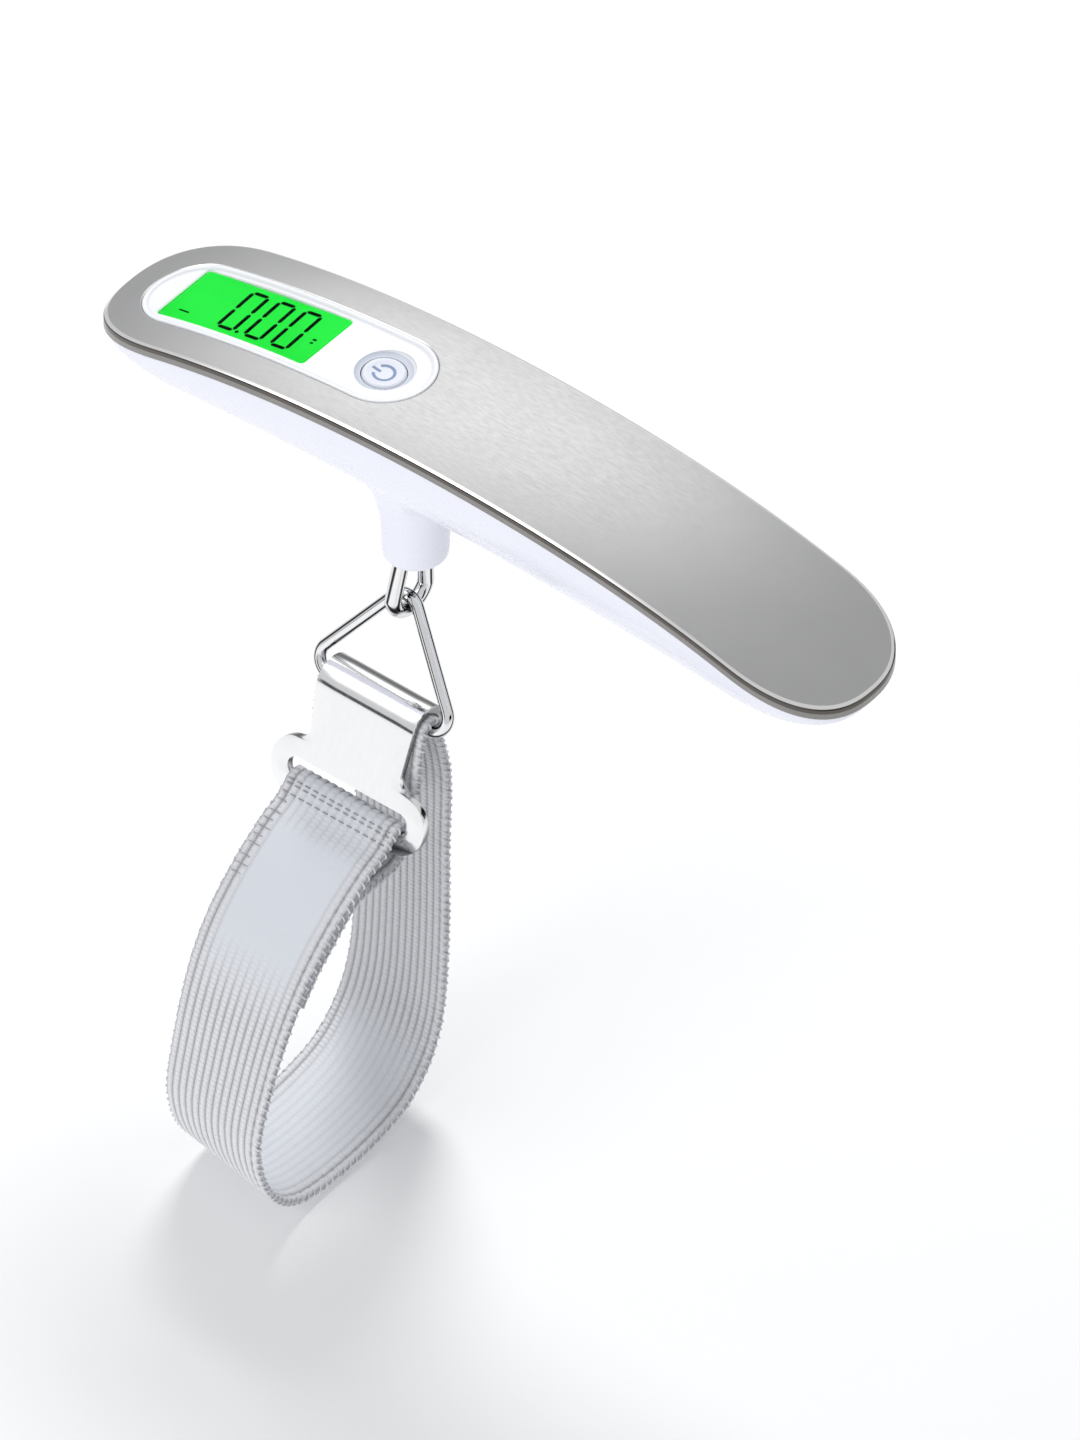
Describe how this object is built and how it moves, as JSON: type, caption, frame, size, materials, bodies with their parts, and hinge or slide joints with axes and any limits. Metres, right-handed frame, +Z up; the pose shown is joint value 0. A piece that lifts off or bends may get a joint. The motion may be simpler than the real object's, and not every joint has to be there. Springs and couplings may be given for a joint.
{
  "type": "digital luggage scale",
  "caption": "Hand-held hanging scale: curved metal-topped body with a display and button, and a webbing loop on a steel hook plate hung from its neck.",
  "frame": {"origin": "on the axis of the neck, level with the crown of the top plate, where a hand lifts the scale", "axes": "+X along the body away from the display, +Z up out of the top plate, and +Y towards the side that the digits have their tops at; the loop leans towards -Y"},
  "size_m": [0.16, 0.0719, 0.1502],
  "materials": {
    "satin_steel": "satin, bright bevelled edge",
    "white_shell": "glossy white, a little lavender",
    "clear_window": "clear",
    "lcd": "lit green with dark seven-segment digits",
    "light_guide": "milky green",
    "black_plastic": "matt black",
    "elastomer": "matt",
    "board": "green solder mask",
    "chip": "black epoxy",
    "metal_can": "bright",
    "led": "clear green",
    "white_button": "glossy white with a printed power sign",
    "switch_plunger": "matt",
    "cell_aluminium": "milled",
    "gauge_film": "amber film",
    "zinc_screw": "zinc plated",
    "hanger_steel": "machined",
    "chrome_wire": "mirror bright",
    "polished_steel": "polished",
    "webbing": "ribbed grey-white webbing",
    "cell_case": "bright",
    "spring_steel": "gold flashed",
    "red_wire": "satin",
    "black_wire": "satin",
    "grey_wire": "satin"
  },
  "bodies": {
    "body": {"top_plate": "satin_steel", "upper_housing": "white_shell", "lower_housing": "white_shell", "display_lens": "clear_window", "lcd_glass": "lcd", "lcd_backlight": "light_guide", "lcd_frame": "black_plastic", "zebra_connector": "elastomer", "main_pcb": "board", "control_chip": "chip", "clock_crystal": "metal_can", "backlight_led": "led", "tact_switch_body": "black_plastic", "load_cell": "cell_aluminium", "strain_gauge_1": "gauge_film", "strain_gauge_2": "gauge_film", "strain_gauge_3": "gauge_film", "strain_gauge_4": "gauge_film", "load_cell_screw_1": "zinc_screw", "load_cell_screw_2": "zinc_screw", "hanger_screw": "zinc_screw", "hanger_block": "hanger_steel", "hanger_pin": "chrome_wire", "battery_holder": "black_plastic", "battery_contact_positive": "spring_steel", "battery_contact_negative": "spring_steel", "battery_wire_positive": "red_wire", "battery_wire_negative": "black_wire", "sensor_cable": "grey_wire", "housing_screw_1": "zinc_screw", "housing_screw_2": "zinc_screw"},
    "button": {"power_button": "white_button"},
    "switch_plunger": {"tact_switch_plunger": "switch_plunger"},
    "door": {"battery_door": "white_shell"},
    "cell": {"coin_cell": "cell_case"},
    "eye": {"eye_link": "chrome_wire"},
    "ring": {"triangle_ring": "chrome_wire"},
    "loop": {"hook_plate": "polished_steel", "strap": "webbing"}
  },
  "joints": [
    {"name": "button_press", "type": "slide", "parent": "body", "child": "button", "axis": [0, 0, -1], "range_m": [0, 0.0004], "stiffness_N_per_m": 800},
    {"name": "switch_press", "type": "slide", "parent": "body", "child": "switch_plunger", "axis": [0, 0, -1], "range_m": [0, 0.0004]},
    {"name": "door_release", "type": "slide", "parent": "body", "child": "door", "axis": [0, 0, -1], "range_m": [0, 0.026]},
    {"name": "cell_release", "type": "slide", "parent": "body", "child": "cell", "axis": [0, 0, -1], "range_m": [0, 0.013]},
    {"name": "eye_swing", "type": "hinge", "parent": "body", "child": "eye", "pos_m": [0, 0, -0.0342], "axis": [1, 0, 0], "range_deg": [0, 16]},
    {"name": "ring_swing", "type": "hinge", "parent": "eye", "child": "ring", "pos_m": [0, -0.00154, -0.04519], "axis": [1, 0, 0], "range_deg": [-50, 75]},
    {"name": "loop_swing", "type": "hinge", "parent": "ring", "child": "loop", "pos_m": [0, -0.00952, -0.06596], "axis": [1, 0, 0], "range_deg": [-55, 60]}
  ],
  "couplings": [
    {"joint": "switch_press", "follows": "button_press", "ratio": 1},
    {"joint": "cell_release", "follows": "door_release", "ratio": 0.5}
  ]
}
